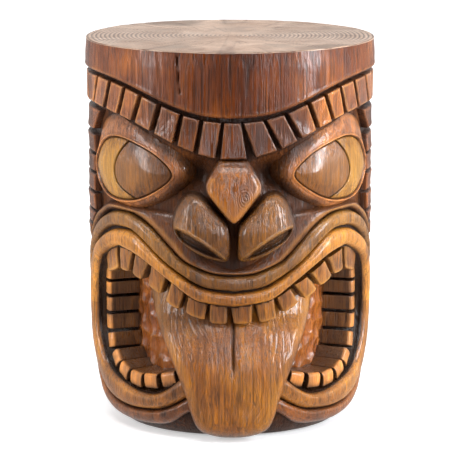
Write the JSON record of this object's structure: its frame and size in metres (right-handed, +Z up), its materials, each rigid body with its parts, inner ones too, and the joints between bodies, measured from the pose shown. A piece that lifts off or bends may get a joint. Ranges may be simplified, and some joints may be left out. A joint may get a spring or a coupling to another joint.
{
  "type": "tiki pedestal table",
  "caption": "Log-shaped side table carved as a grinning tiki face, with block brow, bared teeth and a long hanging tongue.",
  "frame": {"origin": "on the floor under the log's axis", "axes": "+Z up, the face looks along -Y, +X to the viewer's right when facing it"},
  "size_m": [0.383, 0.4055, 0.51],
  "materials": {
    "trunk": "stained and sealed",
    "brow_blocks": "stained and sealed",
    "side_blocks": "stained and sealed",
    "teeth": "stained and sealed",
    "iris": "stained and sealed",
    "eye_white": "stained and sealed",
    "nose": "stained and sealed",
    "lips": "stained and sealed",
    "cheek": "stained and sealed",
    "tongue": "stained and sealed",
    "mouth_lining": "hammered, stained and sealed",
    "top_slab": "dull sealed end grain",
    "base_plate": "raw wood",
    "base_screws": "zinc plated steel",
    "glides": "black rubber"
  },
  "bodies": {
    "root": {"back_brow_blocks": "brow_blocks", "base_plate": "base_plate", "base_screws": "base_screws", "brow_block_01": "brow_blocks", "brow_block_02": "brow_blocks", "brow_block_03": "brow_blocks", "brow_block_04": "brow_blocks", "brow_block_05": "brow_blocks", "brow_block_06": "brow_blocks", "brow_block_07": "brow_blocks", "brow_block_08": "brow_blocks", "brow_block_09": "brow_blocks", "brow_block_10": "brow_blocks", "brow_block_11": "brow_blocks", "brow_block_12": "brow_blocks", "brow_block_13": "brow_blocks", "brow_block_14": "brow_blocks", "brow_block_15": "brow_blocks", "brow_block_16": "brow_blocks", "brow_block_17": "brow_blocks", "cheek_left": "cheek", "cheek_right": "cheek", "eye_white_left": "eye_white", "eye_white_right": "eye_white", "eyelid_left": "trunk", "eyelid_right": "trunk", "glides": "glides", "iris_left": "iris", "iris_right": "iris", "lower_lip_inner_left": "lips", "lower_lip_inner_right": "lips", "lower_lip_outer_left": "lips", "lower_lip_outer_right": "lips", "lower_teeth_left": "teeth", "lower_teeth_right": "teeth", "mouth_lining": "mouth_lining", "nose_bridge": "nose", "nostril_left": "nose", "nostril_right": "nose", "side_blocks_left": "side_blocks", "side_blocks_right": "side_blocks", "tongue": "tongue", "top_slab": "top_slab", "trunk": "trunk", "upper_lip_inner": "lips", "upper_lip_outer": "lips", "upper_tooth_01": "teeth", "upper_tooth_02": "teeth", "upper_tooth_03": "teeth", "upper_tooth_04": "teeth", "upper_tooth_05": "teeth", "upper_tooth_06": "teeth", "upper_tooth_07": "teeth", "upper_tooth_08": "teeth", "upper_tooth_09": "teeth", "upper_tooth_10": "teeth", "upper_tooth_11": "teeth", "upper_tooth_12": "teeth", "upper_tooth_13": "teeth", "upper_tooth_14": "teeth"}
  },
  "joints": []
}
